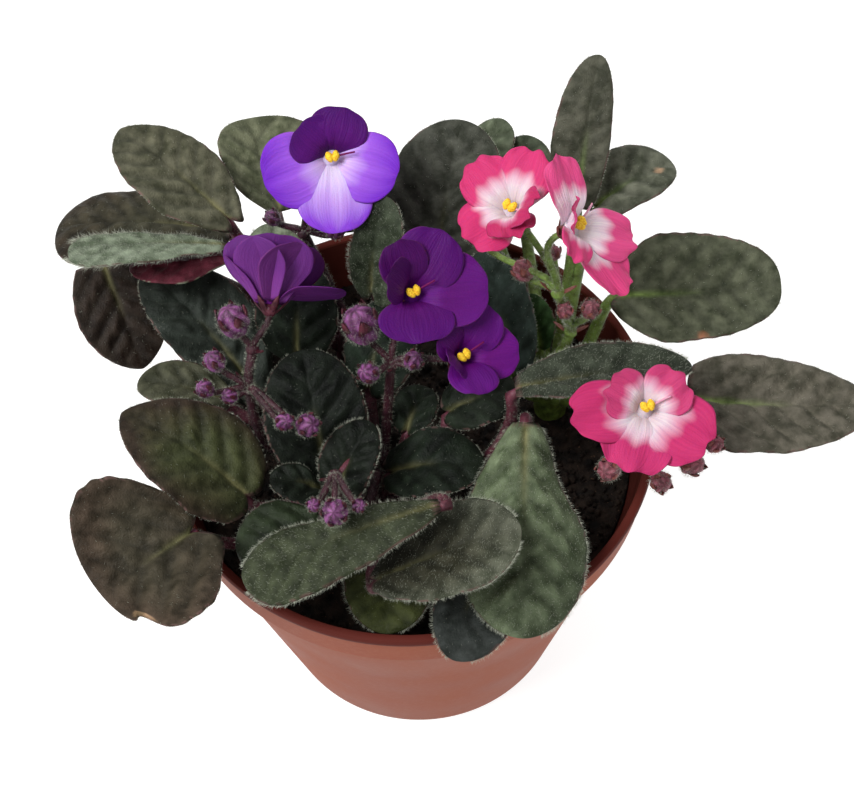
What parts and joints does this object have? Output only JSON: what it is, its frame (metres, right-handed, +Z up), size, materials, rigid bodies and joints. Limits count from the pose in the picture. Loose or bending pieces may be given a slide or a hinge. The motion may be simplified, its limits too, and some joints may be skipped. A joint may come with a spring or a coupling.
{
  "type": "potted african violet",
  "caption": "Small flowering house plant in a round plastic pot, with rosettes of velvety oval leaves and clusters of violet, blue and pink flowers.",
  "frame": {"origin": "centre of the pot's foot, on the surface it stands on", "axes": "+Z up along the pot's axis; -Y towards the side the plant is mostly seen from, +X to the right from there"},
  "size_m": [0.2293, 0.1627, 0.1939],
  "materials": {
    "terracotta_plastic": "moulded plastic in a dusty terracotta colour, brighter on the rim",
    "peat": "dark damp crumbly peat",
    "green_leaf": "velvety green leaf with short pale hairs",
    "bronze_leaf": "velvety bronze-green leaf with pale hairs",
    "maroon_stem": "hairy maroon stem",
    "green_stem": "bright green hairy stem",
    "violet_petal": "thin satin violet petal",
    "blue_petal": "thin satin blue-violet petal with a white throat",
    "pink_petal": "thin satin pink petal with a ruffled edge",
    "pollen": "bright yellow pollen sac"
  },
  "bodies": {
    "root": {"pot": "terracotta_plastic", "soil": "peat", "crown_violet": "maroon_stem", "crown_blue": "maroon_stem", "crown_pink": "green_stem", "leaf_back_left": "bronze_leaf", "leaf_back_mid": "bronze_leaf", "leaf_far_left": "bronze_leaf", "leaf_silver": "bronze_leaf", "leaf_left_down": "bronze_leaf", "leaf_left_inner": "bronze_leaf", "leaf_left_small": "bronze_leaf", "leaf_front_left_big": "bronze_leaf", "leaf_front_left_low": "bronze_leaf", "leaf_front_long": "bronze_leaf", "leaf_front_left_back": "bronze_leaf", "leaf_front_cup": "bronze_leaf", "leaf_front_olive": "bronze_leaf", "leaf_front_dark": "bronze_leaf", "leaf_front_right": "bronze_leaf", "leaf_centre_front": "bronze_leaf", "leaf_round_inner": "bronze_leaf", "leaf_tiny_inner": "bronze_leaf", "leaf_mid_left": "bronze_leaf", "leaf_mid_back_left": "bronze_leaf", "leaf_mid_back": "bronze_leaf", "leaf_centre_mid": "bronze_leaf", "leaf_under_flower": "bronze_leaf", "leaf_behind_flower": "green_leaf", "leaf_up_fold": "bronze_leaf", "leaf_back_big": "bronze_leaf", "leaf_back_small_a": "green_leaf", "leaf_back_small_b": "green_leaf", "leaf_back_tall": "green_leaf", "leaf_back_right_small": "green_leaf", "leaf_right_upper": "green_leaf", "leaf_fold": "bronze_leaf", "leaf_right_low": "green_leaf", "leaf_young": "green_leaf", "leaf_silver_small": "bronze_leaf", "stalk_blue": "maroon_stem", "stalk_violet_left": "maroon_stem", "stalk_violet_mid": "maroon_stem", "stalk_violet_front": "maroon_stem", "stalk_pink_tall": "green_stem", "stalk_pink_low": "green_stem", "corolla_blue_top": "blue_petal", "anthers_blue_top": "pollen", "corolla_violet_left": "violet_petal", "anthers_violet_left": "pollen", "corolla_violet_mid": "violet_petal", "anthers_violet_mid": "pollen", "corolla_violet_low": "violet_petal", "anthers_violet_low": "pollen", "corolla_pink_back": "pink_petal", "anthers_pink_back": "pollen", "corolla_pink_tall": "pink_petal", "anthers_pink_tall": "pollen", "corolla_pink_front": "pink_petal", "anthers_pink_front": "pollen"}
  },
  "joints": []
}
